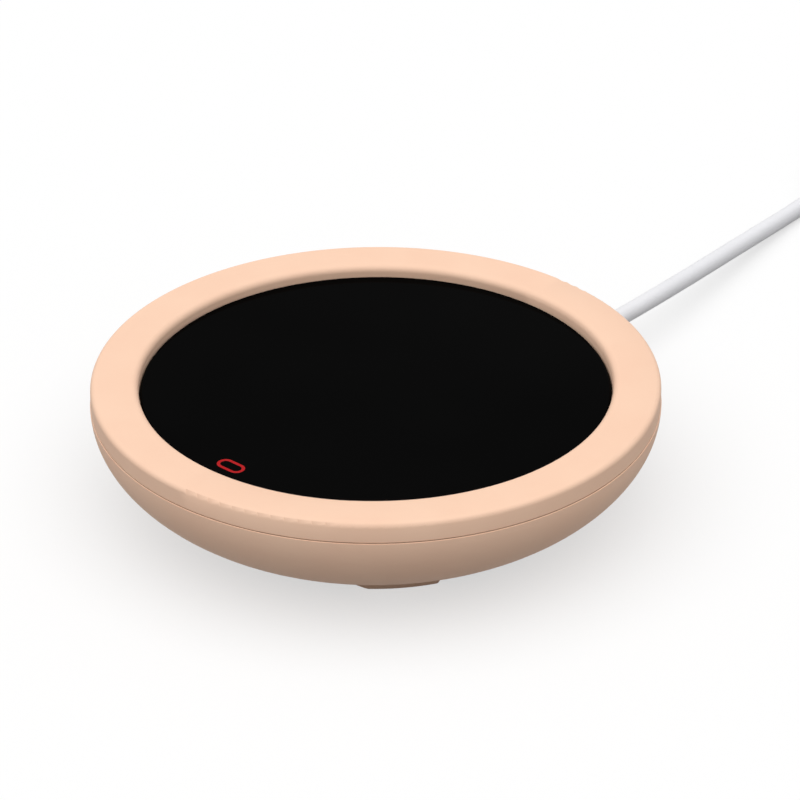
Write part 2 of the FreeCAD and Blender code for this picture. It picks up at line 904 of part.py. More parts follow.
def strain_relief():
    """Tapered rubber sleeve, flanged inside the wall and grooved so that it bends evenly."""
    root_y = relief_flange_y + relief_flange_thickness
    wall_y = bowl_radius_at(cord_axis_z)
    sleeve = along_lead([
        (relief_flange_y, 0, 0),
        (relief_flange_y, relief_flange_radius, 0),
        (root_y, relief_flange_radius, 0),
        (root_y, relief_root_radius, 0),
        (wall_y, relief_root_radius, 0),
        (relief_tip_y, relief_tip_radius, 0.3),
        (relief_tip_y, 0, 0),
    ])
    for number in range(relief_rings):
        y = wall_y + relief_first_groove + number * relief_groove_pitch
        outer = taper(y, wall_y, relief_tip_y, relief_root_radius, relief_tip_radius)
        sleeve = sleeve.cut(along_lead([
            (y, outer - relief_groove_depth, 0),
            (y, outer + 1, 0),
            (y + relief_groove_width, outer + 1, 0),
            (y + relief_groove_width, outer - relief_groove_depth, 0),
        ]))
    return sleeve


def jacket_end():
    """End of the lead's jacket inside the body, under the clamp."""
    return cord_bore(cord_radius, jacket_end_y, relief_flange_y)


def coil_point(radius, angle, z):
    x, y = polar(radius, angle)
    return Vec(coil_x + x, coil_y + y, z)


def coil_way(angle):
    """Direction of travel round the coil, clockwise seen from above."""
    turn = math.radians(angle)
    return Vec(math.sin(turn), -math.cos(turn), 0)


def coil_outer_radius():
    return coil_mean_radius + (coil_turns_wide - 1) / 2 * cord_thickness


def coil_entry():
    return coil_point(coil_outer_radius(), coil_entry_angle, cord_radius)


def coil_exit():
    top = cord_radius + (coil_turns_high - 1) * cord_thickness
    return coil_point(coil_outer_radius(), coil_exit_angle, top)


def power_cord():
    """The lead from the sleeve's tip to the coil."""
    stop = coil_entry() - coil_way(coil_entry_angle) * coil_lead_in
    landing = stop - coil_way(coil_entry_angle) * cord_landing
    run = [Vec(x, relief_tip_y + reach, z) for x, reach, z in cord_route]
    points = [Vec(0, relief_tip_y, cord_axis_z), *run, landing, stop]
    return tube(points, cord_radius, "power_cord")


def cord_coil():
    """The coil's outer shape, with the straight ends that lead into it and out of it."""
    half_width = coil_turns_wide / 2 * cord_thickness
    height = coil_turns_high * cord_thickness
    ring = spun([
        (coil_mean_radius - half_width, 0, cord_radius),
        (coil_mean_radius + half_width, 0, cord_radius),
        (coil_mean_radius + half_width, height, cord_radius),
        (coil_mean_radius - half_width, height, cord_radius),
    ])
    ring.translate(Vec(coil_x, coil_y, 0))
    lead_in = Part.makeCylinder(cord_radius, coil_lead_in, coil_entry(), coil_way(coil_entry_angle) * -1)
    lead_out = Part.makeCylinder(cord_radius, coil_lead_out, coil_exit(), coil_way(coil_exit_angle))
    return joined(ring, [lead_in, lead_out])


def tail_points():
    """The lead's last stretch, level, down to the plug's height, and level again."""
    way = coil_way(coil_exit_angle)
    start = coil_exit() + way * coil_lead_out
    top = start + way * tail_level
    bottom = top + way * tail_fall
    bottom.z = plug_z
    return [start, top, bottom, bottom + way * tail_level]


def cord_tail():
    return tube(tail_points(), cord_radius, "cord_tail")


def put_on_tail(shape):
    """Moves a piece drawn with the lead coming to it along +X, so that it sits on the lead's end."""
    way = coil_way(coil_exit_angle)
    shape.rotate(Vec(0, 0, 0), UP, math.degrees(math.atan2(way.y, way.x)))
    shape.translate(tail_points()[-1])
    return shape


def across_point(y, z):
    return Vec(0, y, z)


def plug_prism(width, height, radius, start, length):
    """Rounded bar along +X, centred on the plug's axis."""
    corners = oblong(0, 0, width, height, radius)
    face = Part.Face(rounded_wire(corners, across_point))
    face.translate(Vec(start, 0, 0))
    return face.extrude(Vec(length, 0, 0))


def plug_body():
    """Moulded grip with its tapered nose where the lead goes in."""
    grip = plug_prism(
        plug_body_width, plug_body_height, plug_body_round, plug_relief_length, plug_body_length
    )
    rims = [edge for edge in grip.Edges if abs(edge.BoundBox.XLength) < 1e-6]
    grip = grip.makeFillet(plug_edge_round, rims)
    nose_length = plug_relief_length + plug_body_round
    nose = Part.makeCone(plug_nose_radius, plug_relief_radius, nose_length, Vec(0, 0, 0), Vec(1, 0, 0))
    return put_on_tail(grip.fuse(nose).removeSplitter())


def plug_shell():
    """Folded steel shell of the plug, open at the end and pierced by four latch windows."""
    start = plug_relief_length + plug_body_length
    outer = plug_prism(plug_shell_width, plug_shell_height, plug_shell_round, start, plug_shell_length)
    inner = plug_prism(
        plug_shell_width - 2 * plug_shell_wall,
        plug_shell_height - 2 * plug_shell_wall,
        plug_shell_round / 2,
        start,
        plug_shell_length + 1,
    )
    shell = outer.cut(inner)
    length, width = plug_window
    through = 2 * plug_shell_height
    for side in (-1, 1):
        y = side * plug_window_y
        shell = shell.cut(block(start + plug_window_x, y, -through / 2, length, width, through))
    return put_on_tail(shell)


def plug_tongue_low():
    return plug_shell_height / 2 - plug_shell_wall - plug_tongue_height


def plug_tongue():
    """Insulating tongue that carries the contacts."""
    start = plug_relief_length + plug_body_length
    width = plug_shell_width - 2 * plug_shell_wall - 2 * plug_shell_round
    length = plug_shell_length - plug_tongue_back
    tongue = Part.makeBox(length, width, plug_tongue_height, Vec(start, -width / 2, plug_tongue_low()))
    return put_on_tail(tongue)


def plug_contacts():
    """Four gilt strips on the tongue's face."""
    x = plug_relief_length + plug_body_length + plug_contact_inset + plug_contact_length / 2
    low = plug_tongue_low() - plug_contact_height
    strips = []
    for number in range(4):
        y = (number - 1.5) * plug_contact_pitch
        strip = block(x, y, low, plug_contact_length, plug_contact_width, plug_contact_height)
        strips.append(put_on_tail(strip))
    return Part.makeCompound(strips)


def screws_at(places, seat_z, length, points_up):
    return Part.makeCompound([screw(x, y, seat_z, length, points_up) for x, y in places])


def save(name, shape):
    shape.exportStep(f"parts/{name}.step")


save("bezel_ring", bezel_ring())
save("lower_shell", lower_shell())
save("glass_panel", glass_panel())
save("touch_mark", touch_mark())
save("glass_gasket", glass_gasket())

save("heat_spreader", heat_spreader())
save("heating_film", heating_film())
save("insulation_pad", insulation_pad())
save("heater_carrier", heater_carrier())
save("thermistor", thermistor())
save("thermal_fuse", thermal_fuse())
carrier_places = [polar(carrier_screw_circle, angle) for angle in carrier_screw_angles]
save("carrier_screws", screws_at(carrier_places, carrier_low, short_screw_length - screw_clearance, True))

save("control_board", control_board())
save("board_screws", screws_at(map(on_board, board_holes), board_top, short_screw_length, False))
save("touch_spring", touch_spring())
save("light_shroud", light_shroud())
save("indicator_leds", indicator_leds())
save("touch_chip", touch_chip())
save("power_transistor", power_transistor())
save("filter_capacitor", filter_capacitor())
save("board_connector", board_connector())
save("chip_resistors", chip_resistors())
save("supply_core_live", supply_core(1))
save("supply_core_return", supply_core(-1))
save("heater_leads", Part.makeCompound([heater_lead(side) for side in (-1, 1)]))
save("sensor_leads", Part.makeCompound([sensor_lead(side) for side in (-1, 1)]))

save("cord_clamp", cord_clamp())
clamp_places = [(side * clamp_post_x, clamp_y) for side in (-1, 1)]
clamp_top = cord_axis_z + clamp_bite + clamp_height
save("clamp_screws", screws_at(clamp_places, clamp_top, clamp_screw_length(), False))
housing_places = [polar(housing_screw_circle, angle) for angle in housing_screw_angles]
save("housing_screws", screws_at(housing_places, housing_well_roof, housing_screw_length, True))

first_foot = foot()
foot_names = ("foot_right_front", "foot_right_rear", "foot_left_rear", "foot_left_front")
for number, name in enumerate(foot_names):
    save(name, turned(first_foot, number * 360 / foot_count))

save("strain_relief", strain_relief())
save("jacket_end", jacket_end())
save("power_cord", power_cord())
save("cord_coil", cord_coil())
save("cord_tail", cord_tail())
save("plug_body", plug_body())
save("plug_shell", plug_shell())
save("plug_tongue", plug_tongue())
save("plug_contacts", plug_contacts())
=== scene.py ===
# %% [markdown]
# # A round electric mug warmer
# The real object is a low dish of moulded plastic. A ring holds a black glass plate, a bowl holds
# the electronics, and a thin white lead leaves the back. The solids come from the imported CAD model,
# and this script gives them their finishes and the few shapes that curves and nodes make better.
# Everything is in metres, in the CAD model's own frame: the table is z = 0, the touch key is at the
# front, -Y, and the lead leaves at the back, +Y.

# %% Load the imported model
import json
import math

import bmesh
import bpy
from mathutils import Matrix, Vector


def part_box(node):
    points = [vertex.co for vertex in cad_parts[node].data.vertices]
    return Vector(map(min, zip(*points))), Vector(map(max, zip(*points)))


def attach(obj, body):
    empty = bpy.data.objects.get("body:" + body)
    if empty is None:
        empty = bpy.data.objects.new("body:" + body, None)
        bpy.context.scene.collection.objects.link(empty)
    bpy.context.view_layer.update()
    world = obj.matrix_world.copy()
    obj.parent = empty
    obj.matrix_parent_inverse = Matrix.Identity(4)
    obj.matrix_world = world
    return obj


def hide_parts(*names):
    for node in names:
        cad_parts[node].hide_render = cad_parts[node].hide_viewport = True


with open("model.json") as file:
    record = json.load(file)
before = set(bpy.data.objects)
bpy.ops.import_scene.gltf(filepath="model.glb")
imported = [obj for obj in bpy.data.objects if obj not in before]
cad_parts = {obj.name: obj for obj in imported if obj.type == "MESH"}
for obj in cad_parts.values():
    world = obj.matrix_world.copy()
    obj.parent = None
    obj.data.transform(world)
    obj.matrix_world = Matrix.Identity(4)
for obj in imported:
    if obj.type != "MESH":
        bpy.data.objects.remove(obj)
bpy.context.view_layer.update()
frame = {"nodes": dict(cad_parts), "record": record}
nodes = frame["nodes"]
MM = 0.001
BODY_RADIUS = 60 * MM
SEAM_HEIGHT = 23.6 * MM
BOWL_DEPTH = 28.5 * MM
CORD_RADIUS = 2 * MM
CORD_HEIGHT = 9 * MM

# %% [markdown]
# ## The camera
# The photograph is a product picture taken from far away with a long lens, so the ring is a nearly
# perfect ellipse. Three facts fix the camera: the ellipse's height over its width gives the
# elevation, the key's place on the rim gives the azimuth, and the ring's width gives the distance.
# A small lens shift puts the body in the same place in the frame, which keeps the perspective.

# %% Camera at the photograph's angle
IMAGE_SIDE = 800
AZIMUTH = math.radians(42.2)
ELEVATION = math.radians(29.65)
ROLL = math.radians(-0.42)
DISTANCE = 900 * MM
PIXELS_PER_MM = 4.747
TARGET = Vector((0, 0, 20 * MM))
TARGET_IN_FRAME = (375.85, 410.0)
SENSOR = 36.0

toward_camera = Vector((
    math.sin(AZIMUTH) * math.cos(ELEVATION),
    -math.cos(AZIMUTH) * math.cos(ELEVATION),
    math.sin(ELEVATION),
))
to_right = Vector((math.cos(AZIMUTH), math.sin(AZIMUTH), 0))
to_top = toward_camera.cross(to_right)
frame_axes = Matrix((to_right, to_top, toward_camera)).transposed()
lens_data = bpy.data.cameras.new("product_camera")
lens_data.sensor_width = SENSOR
lens_data.lens = SENSOR * PIXELS_PER_MM * DISTANCE / MM / IMAGE_SIDE
lens_data.shift_x = (IMAGE_SIDE / 2 - TARGET_IN_FRAME[0]) / IMAGE_SIDE
lens_data.shift_y = (TARGET_IN_FRAME[1] - IMAGE_SIDE / 2) / IMAGE_SIDE
lens_data.clip_start = 0.01
camera = bpy.data.objects.new("product_camera", lens_data)
turned_axes = frame_axes @ Matrix.Rotation(ROLL, 3, "Z")
camera.matrix_world = Matrix.Translation(TARGET + toward_camera * DISTANCE) @ turned_axes.to_4x4()
bpy.context.scene.collection.objects.link(camera)
bpy.context.scene.camera = camera
print("lens", round(lens_data.lens, 1), "mm")

# %% [markdown]
# ## The lead's line
# The lead is a fixed length of soft 4 mm cable. The picture shows only its first 80 mm: it comes
# out of the sleeve level, sinks to the table under its own weight and runs straight off. The rest
# is put away as it is in the box, wound into a neat coil just outside the picture. One NURBS curve
# holds the whole length. Its control points are the route's corners and then sixteen points for
# each turn of the coil, and an order of 3 rounds them the way a soft cable bends.

# %% Route of the lead, up to the coil
CORD_EXIT = Vector((0, 72 * MM, CORD_HEIGHT))
route = [
    CORD_EXIT,
    Vector((0, 88 * MM, CORD_HEIGHT)),
    Vector((-3.2 * MM, 111 * MM, 6.7 * MM)),
    Vector((-6.8 * MM, 136 * MM, 4.4 * MM)),
]
COIL_MIDDLE = Vector((13.1 * MM, 192 * MM, 0))
LANE_PITCH = 2 * CORD_RADIUS
OUTER_LANE = 26 * MM
ENTRY_ANGLE = math.radians(184.6)
EXIT_ANGLE = math.radians(15)


def coil_way(angle):
    """Direction of travel round the coil, clockwise seen from above."""
    return Vector((math.sin(angle), -math.cos(angle), 0))


def on_coil(angle, radius, height):
    return COIL_MIDDLE + Vector((radius * math.cos(angle), radius * math.sin(angle), height))


coil_start = on_coil(ENTRY_ANGLE, OUTER_LANE, CORD_RADIUS)
lead_in = coil_start - coil_way(ENTRY_ANGLE) * 18 * MM
route += [lead_in - coil_way(ENTRY_ANGLE) * 14 * MM, lead_in]
print("route corners:", len(route))

# %% [markdown]
# ## The coil
# A hand-wound coil is a spiral that steps from lane to lane. The first three turns lie on the table
# and step inwards, the next three lie on them and step outwards, and the last one and a half lie on
# top. Each step has its own place round the coil, so that a strand never has to pass through the
# one that lies next to it. The last turn crosses over the one before in a low hump, as it must to
# leave on the outside.

# %% Turns of the coil
POINTS_PER_TURN = 16
TURNS = 7 + (ENTRY_ANGLE - EXIT_ANGLE) / (2 * math.pi)
# How many turns in, how many lanes in from the outside, and how many layers up.
steps = (
    (0.00, 0, 0), (0.84, 0, 0), (1.00, 1, 0), (1.84, 1, 0), (2.00, 2, 0),
    (2.66, 2, 0), (2.84, 2, 1), (3.56, 2, 1), (3.74, 1, 1), (4.56, 1, 1), (4.74, 0, 1),
    (5.47, 0, 1), (5.62, 0, 2), (5.66, 0, 2), (5.84, 1, 2), (6.42, 1, 2),
    (6.60, 1, 3), (6.84, 0, 3), (7.04, 0, 2), (TURNS, 0, 2),
)


def lane_at(turn):
    """Lane and layer after a number of turns, between the steps."""
    for before, after in zip(steps, steps[1:]):
        if turn <= after[0]:
            share = (turn - before[0]) / (after[0] - before[0])
            return [a + share * (b - a) for a, b in zip(before[1:], after[1:])]
    return steps[-1][1:]


# A spline of order 3 runs inside its control points, so these stand a little further out.
outward = 1 / math.cos(math.pi / POINTS_PER_TURN)
coil_points = []
count = round(TURNS * POINTS_PER_TURN)
for number in range(count + 1):
    turn = TURNS * number / count
    lane, layer = lane_at(turn)
    radius = (OUTER_LANE - lane * LANE_PITCH) * outward
    angle = ENTRY_ANGLE - turn * 2 * math.pi
    coil_points.append(on_coil(angle, radius, CORD_RADIUS + layer * LANE_PITCH))
print("turns:", round(TURNS, 2), "points:", len(coil_points))

# %% The lead as one curve
exit_way = coil_way(EXIT_ANGLE)
tail = [on_coil(EXIT_ANGLE, OUTER_LANE, CORD_RADIUS + 2 * LANE_PITCH) + exit_way * 16 * MM]
tail.append(tail[0] + exit_way * 9 * MM)
tail.append(tail[1] + exit_way * 16 * MM)
tail[2].z = 4 * MM
tail.append(tail[2] + exit_way * 9 * MM)

cord_curve = bpy.data.curves.new("supply_lead", "CURVE")
cord_curve.dimensions = "3D"
cord_curve.bevel_depth = CORD_RADIUS
cord_curve.bevel_resolution = 5
cord_curve.resolution_u = 6
cord_curve.use_fill_caps = True
spline = cord_curve.splines.new("NURBS")
cord_points = route + coil_points + tail
spline.points.add(len(cord_points) - 1)
for place, point in zip(spline.points, cord_points):
    place.co = (*point, 1)
spline.order_u = 3
spline.use_endpoint_u = True
supply_lead = bpy.data.objects.new("supply_lead", cord_curve)
bpy.context.scene.collection.objects.link(supply_lead)

# %% [markdown]
# ## Finishes: two helpers
# Colours are written as sRGB hex, the way a paint chart gives them, and shaders work in linear
# light, so one function converts them. Another adds a node, sets it up and links it in one call.

# %% Colour and node helpers


def linear(hex_colour):
    """RGBA in linear light from an sRGB hex colour."""
    parts = [int(hex_colour[start:start + 2], 16) / 255 for start in (1, 3, 5)]
    return (*[p / 12.92 if p <= 0.04045 else ((p + 0.055) / 1.055) ** 2.4 for p in parts], 1)


def add(tree, kind, inputs=(), **settings):
    """Adds a node. Each input, by name or number, gets a value or a link from a socket."""
    node = tree.nodes.new(kind)
    for name, value in settings.items():
        setattr(node, name, value)
    for name, value in dict(inputs).items():
        if isinstance(value, bpy.types.NodeSocket):
            tree.links.new(value, node.inputs[name])
        else:
            node.inputs[name].default_value = value
    return node


def start_finish(name):
    """An empty material and its tree."""
    finish = bpy.data.materials.new(name)
    finish.use_nodes = True
    finish.node_tree.nodes.clear()
    return finish, finish.node_tree


def close_finish(tree, inputs):
    """Ends a material in one Principled shader."""
    shader = add(tree, "ShaderNodeBsdfPrincipled", inputs)
    add(tree, "ShaderNodeOutputMaterial", {"Surface": shader.outputs[0]})
    return shader


def grain(tree, size_mm, detail=2.0, **settings):
    """Noise whose blobs have a real size, on Object coordinates."""
    place = add(tree, "ShaderNodeTexCoord").outputs["Object"]
    return add(tree, "ShaderNodeTexNoise", {
        "Vector": place, "Scale": 1 / (size_mm * MM), "Detail": detail,
    }, **settings).outputs["Fac"]


def spread(tree, value, low, high):
    """Stretches a noise value, which sits near the middle, between two numbers."""
    return add(tree, "ShaderNodeMapRange", {
        "Value": value, "From Min": 0.3, "From Max": 0.7, "To Min": low, "To Max": high,
    }).outputs[0]


def mixed(tree, value, first, second):
    """A mix of two hex colours. The node's colour sockets are 6 and 7, its colour output is 2."""
    return add(tree, "ShaderNodeMix", {
        0: value, 6: linear(first), 7: linear(second),
    }, data_type="RGBA").outputs[2]


def bump(tree, height, depth_mm, strength=1.0):
    return add(tree, "ShaderNodeBump", {
        "Height": height, "Distance": depth_mm * MM, "Strength": strength,
    }).outputs[0]


def moulded(name, low, high, roughness, grain_mm, depth_mm, level=0.5):
    """Plastic or rubber from a mould: fine etched grain, and a faint cloud of colour."""
    finish, tree = start_finish(name)
    cloud = grain(tree, 14.0, 3.0)
    etched = grain(tree, grain_mm, 2.0)
    close_finish(tree, {
        "Base Color": mixed(tree, spread(tree, cloud, 0, 1), low, high),
        "Roughness": spread(tree, etched, roughness - 0.05, roughness + 0.05),
        "Specular IOR Level": level,
        "Normal": bump(tree, etched, depth_mm),
    })
    return finish


def metal(name, low, high, roughness, grain_mm, depth_mm):
    """Bare or plated metal, coloured by its reflections and broken by fine handling marks."""
    finish, tree = start_finish(name)
    marks = grain(tree, grain_mm, 4.0)
    close_finish(tree, {
        "Base Color": mixed(tree, spread(tree, marks, 0, 1), low, high),
        "Metallic": 1.0,
        "Roughness": spread(tree, marks, roughness - 0.06, roughness + 0.08),
        "Normal": bump(tree, marks, depth_mm),
    })
    return finish


print("helpers ready")

# %% [markdown]
# ## Finishes of the housing
# The ring and bowl are ABS moulded in one peach colour. The mould is etched, so the surface is
# matt and shows no sharp reflection, only a soft roll-off at the edges. The grain is about 0.25 mm
# on the real part, which is too fine to show here, so it is drawn at 0.6 mm and kept shallow.
# Where the two mouldings meet there is a hairline gap. It goes deeper than the groove that the
# solids have, so less light comes back out of it. That shade is painted: the groove's inside is
# coloured darker, which gives the eye one thin dark line round the body.

# %% Peach ABS and its feet
GAP_HALF = 0.17 * MM
GAP_RADIUS = BODY_RADIUS - 0.22 * MM
finishes = {}
peach = moulded("etched_peach_abs", "#FCD2B6", "#FED6BA", 0.6, 0.6, 0.004, 0.3)
tree = peach.node_tree
shader = next(node for node in tree.nodes if node.type == "BSDF_PRINCIPLED")
plain = shader.inputs["Base Color"].links[0].from_socket
place = add(tree, "ShaderNodeTexCoord").outputs["Object"]
flat = add(tree, "ShaderNodeVectorMath", {0: place, 1: (1, 1, 0)}, operation="MULTIPLY").outputs[0]
from_axis = add(tree, "ShaderNodeVectorMath", {0: flat}, operation="LENGTH").outputs["Value"]
height = add(tree, "ShaderNodeSeparateXYZ", {0: place}).outputs["Z"]
inside = add(tree, "ShaderNodeMath", {
    0: from_axis, 1: GAP_RADIUS,
}, operation="LESS_THAN").outputs[0]
level = add(tree, "ShaderNodeMath", {
    0: height, 1: SEAM_HEIGHT, 2: GAP_HALF,
}, operation="COMPARE").outputs[0]
gap_shade_mask = add(tree, "ShaderNodeMath", {0: inside, 1: level}, operation="MULTIPLY").outputs[0]
# Painted shade: inside the seam groove the colour turns darker, #C9A58B, for the shade in the deeper
# gap.
painted_gap_shade = add(tree, "ShaderNodeMix", {
    0: gap_shade_mask, 6: plain, 7: linear("#C9A58B"),
}, data_type="RGBA")
tree.links.new(painted_gap_shade.outputs[2], shader.inputs["Base Color"])
finishes["peach_shell"] = peach
finishes["peach_foot"] = moulded("soft_peach_rubber", "#F3CAAE", "#F7CFB3", 0.8, 0.8, 0.01, 0.25)
print("housing finishes:", [finish.name for finish in finishes.values()])

# %% [markdown]
# The plate is tempered glass with black ceramic fired on its back. Polished glass mirrors a dark
# studio in the picture, so its reflection is kept weak here: a low specular level gives the few
# grey levels that the picture shows at this angle. The key's outline is red enamel, fired flat.

# %% Black glass and red enamel
glass, tree = start_finish("black_ceramic_backed_glass")
smears = grain(tree, 45.0, 2.0)
close_finish(tree, {
    "Base Color": mixed(tree, spread(tree, smears, 0, 1), "#040404", "#060606"),
    "Roughness": spread(tree, smears, 0.03, 0.07),
    "Specular IOR Level": 0.003,
})
finishes["black_glass"] = glass

enamel, tree = start_finish("fired_red_enamel")
speckle = grain(tree, 0.3, 2.0)
close_finish(tree, {
    "Base Color": mixed(tree, spread(tree, speckle, 0, 1), "#A91A1C", "#BE2226"),
    "Roughness": 0.35,
    "Specular IOR Level": 0.02,
})
finishes["red_enamel"] = enamel
finishes["gasket"] = moulded("black_silicone_foam", "#161616", "#222222", 0.85, 0.4, 0.03, 0.3)
print("finishes so far:", len(finishes))

# %% [markdown]
# ## Finishes of the heater stack
# Under the glass an aluminium sheet spreads the heat. Rolling leaves fine lines along one
# direction, which a noise stretched along X gives. Under it is a foil heater between two amber
# polyimide films, whose track shows through as darker loops, and then a glass-fibre felt.

# %% Aluminium, polyimide and felt
sheet, tree = start_finish("rolled_aluminium_sheet")
place = add(tree, "ShaderNodeTexCoord").outputs["Object"]
along = add(tree, "ShaderNodeMapping", {"Vector": place, "Scale": (0.04, 1, 1)}).outputs[0]
lines = add(tree, "ShaderNodeTexNoise", {
    "Vector": along, "Scale": 1 / (0.4 * MM), "Detail": 2.0,
}).outputs[0]
close_finish(tree, {
    "Base Color": mixed(tree, spread(tree, lines, 0, 1), "#C9CBCD", "#E0E2E3"),
    "Metallic": 1.0,
    "Roughness": spread(tree, lines, 0.28, 0.4),
    "Normal": bump(tree, lines, 0.01),
})
finishes["aluminium_sheet"] = sheet

film, tree = start_finish("polyimide_film_over_foil")
place = add(tree, "ShaderNodeTexCoord").outputs["Object"]
# Rings of foil track 2.6 mm apart, as an etched heater has. A wave of scale 1 repeats every
# 0.314 units.
TRACK_PITCH = 2.6 * MM
WAVE_UNIT = 0.314
rings = add(tree, "ShaderNodeTexWave", {
    "Vector": place, "Scale": WAVE_UNIT / TRACK_PITCH, "Distortion": 0.0,
}, wave_type="RINGS", rings_direction="Z").outputs["Fac"]
track = add(tree, "ShaderNodeMapRange", {
    "Value": rings, "From Min": 0.45, "From Max": 0.55,
}).outputs[0]
close_finish(tree, {
    "Base Color": mixed(tree, track, "#B4671B", "#7C3F12"),
    "Roughness": 0.25,
    "Normal": bump(tree, track, 0.03),
    "Coat Weight": 0.4,
    "Coat Roughness": 0.1,
})
finishes["polyimide"] = film

felt, tree = start_finish("glass_fibre_felt")
fibres = grain(tree, 0.5, 6.0)
tufts = grain(tree, 3.0, 3.0)
close_finish(tree, {
    "Base Color": mixed(tree, spread(tree, tufts, 0, 1), "#CFCCC2", "#E9E6DC"),
    "Roughness": 1.0,
    "Specular IOR Level": 0.2,
    "Normal": bump(tree, fibres, 0.15),
})
finishes["felt"] = felt
finishes["carrier_plastic"] = moulded("natural_pbt", "#E3DDCB", "#E9E4D4", 0.5, 0.5, 0.008)
finishes["glass_bead"] = moulded("sealed_glass_bead", "#2B2320", "#3A302B", 0.12, 0.6, 0.002)
print("finishes so far:", len(finishes))

# %% [markdown]
# ## Finishes of the control board and the plug
# A board is green because of its solder mask, and the copper under it shows as slightly lighter
# tracks. A brick pattern with thin joints, at the tracks' real spacing, stands for them. Plated
# metals differ mostly in the colour of their reflections.

# %% Board, components and metals
board, tree = start_finish("solder_masked_board")
place = add(tree, "ShaderNodeTexCoord").outputs["Object"]
tracks = add(tree, "ShaderNodeTexBrick", {
    "Vector": place, "Scale": 1.0, "Mortar Size": 0.25 * MM, "Mortar Smooth": 0.2,
    "Brick Width": 4.2 * MM, "Row Height": 1.6 * MM,
}).outputs["Fac"]
close_finish(tree, {
    "Base Color": mixed(tree, tracks, "#12502F", "#1F7A48"),
    "Roughness": 0.35,
    "Normal": bump(tree, tracks, 0.03),
})
finishes["board_green"] = board
finishes["component_black"] = moulded("epoxy_moulding", "#17181A", "#222326", 0.55, 0.3, 0.01)
finishes["can_aluminium"] = metal("drawn_aluminium_can", "#BFC3C8", "#D6D9DC", 0.3, 0.8, 0.004)
finishes["white_plastic"] = moulded(
    "white_diffuser_plastic", "#EDEDE9", "#F3F3F0", 0.45, 0.5, 0.004)
finishes["steel"] = metal("zinc_plated_steel", "#A9ADB2", "#C6C9CC", 0.32, 0.7, 0.004)
finishes["plug_steel"] = metal("nickel_plated_steel", "#B9BBBC", "#D3D4D3", 0.22, 1.2, 0.002)
finishes["contact_gold"] = metal("gold_plated_contact", "#D9A441", "#EBC06A", 0.25, 0.6, 0.002)
finishes["lamp_lens"] = moulded("red_lamp_lens", "#B3201E", "#C92A26", 0.12, 0.8, 0.001)
print("finishes so far:", len(finishes))

# %% [markdown]
# ## Finishes of wires and the lead
# The lead's jacket is a soft white thermoplastic rubber. It is satin, with a faint orange-peel from
# the extruder. The wires inside are smoother PVC in plain colours.

# %% Jacket and wires
finishes["cord_white"] = moulded("extruded_white_tpe", "#EFEFF2", "#F2F2F5", 0.45, 1.1, 0.006, 0.3)
finishes["wire_red"] = moulded("red_pvc_wire", "#B5221F", "#BE2A26", 0.4, 0.6, 0.002)
finishes["wire_black"] = moulded("black_pvc_wire", "#161617", "#1E1E20", 0.4, 0.6, 0.002)
finishes["wire_white"] = moulded("white_pvc_wire", "#E2E1DC", "#EAE9E5", 0.4, 0.6, 0.002)
print("finishes in all:", len(finishes))

# %% Give every CAD node its finish
slots = {part["node"]: part["material_slot"] for part in frame["record"]["subparts"]}
missing = sorted(name for name, slot in slots.items() if slot not in finishes)
for name, node in nodes.items():
    node.data.materials.clear()
    node.data.materials.append(finishes[slots[name]])
print("nodes without a finish:", missing)

# %% [markdown]
# ## Smooth copies of the turned pieces
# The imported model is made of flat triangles. On matt plastic under soft light their edges would
# show as faint stripes. Normals averaged across them hide the stripes, as long as real edges stay
# sharp. A copy of each round piece is merged, because its triangles are loose, and then shaded
# smooth below a set angle. Every piece rides on the one body, keeps the finish of the nodes that it
# stands for, and hides them.

# %% Smooth copies
EDGE_ANGLE = math.radians(32)
MERGE_DISTANCE = 0.002 * MM


def smoothed(mesh, turn_outwards):
    """Merges doubles and shades a mesh smooth, but for edges sharper than the set angle."""
    bm = bmesh.new()
    bm.from_mesh(mesh)
    bmesh.ops.remove_doubles(bm, verts=bm.verts, dist=MERGE_DISTANCE)
    if turn_outwards:
        bmesh.ops.recalc_face_normals(bm, faces=bm.faces)
    for face in bm.faces:
        face.smooth = True
    for edge in bm.edges:
        edge.smooth = len(edge.link_faces) == 2 and edge.calc_face_angle() < EDGE_ANGLE
    bm.to_mesh(mesh)
    bm.free()


def stands_for(piece, slot_name, *node_names):
    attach(piece, "root")
    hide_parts(*node_names)


def smooth_copy(node_name, piece_name):
    """A merged, smooth-shaded copy of a CAD node that stands for it."""
    mesh = nodes[node_name].data.copy()
    piece = bpy.data.objects.new(piece_name, mesh)
    bpy.context.scene.collection.objects.link(piece)
    smoothed(mesh, turn_outwards=False)
    stands_for(piece, slots[node_name], node_name)
    return piece


smooth_pieces = {
    name: smooth_copy(name, "dressed_" + name)
    for name in (
        "bezel_ring", "lower_shell", "glass_panel", "plug_body", "heater_carrier", "jacket_end",
        "light_shroud", "thermistor", "thermal_fuse", "supply_core_live", "supply_core_return",
        "heater_leads", "sensor_leads", "cord_clamp", "filter_capacitor",
    )
}
print("smooth pieces:", len(smooth_pieces))

# %% [markdown]
# ## Geometry Nodes: three helpers
# What repeats or follows a rule is grown by a node tree from a few sizes. A tree gets named inputs
# for its sizes, ends in Realize Instances and Set Material, and is then turned into a plain mesh.
# The helpers start a tree, close it, and run it on an object that becomes the finished piece.

# %% Helpers for node trees


def start_tree(name, sizes):
    """A geometry tree with one input per size. Returns the tree and its input sockets."""
    tree = bpy.data.node_groups.new(name, "GeometryNodeTree")
    tree.interface.new_socket("Geometry", in_out="INPUT", socket_type="NodeSocketGeometry")
    for size, value in sizes.items():
        kind = "NodeSocketInt" if isinstance(value, int) else "NodeSocketFloat"
        tree.interface.new_socket(size, in_out="INPUT", socket_type=kind)
    tree.interface.new_socket("Geometry", in_out="OUTPUT", socket_type="NodeSocketGeometry")
    return tree, add(tree, "NodeGroupInput").outputs


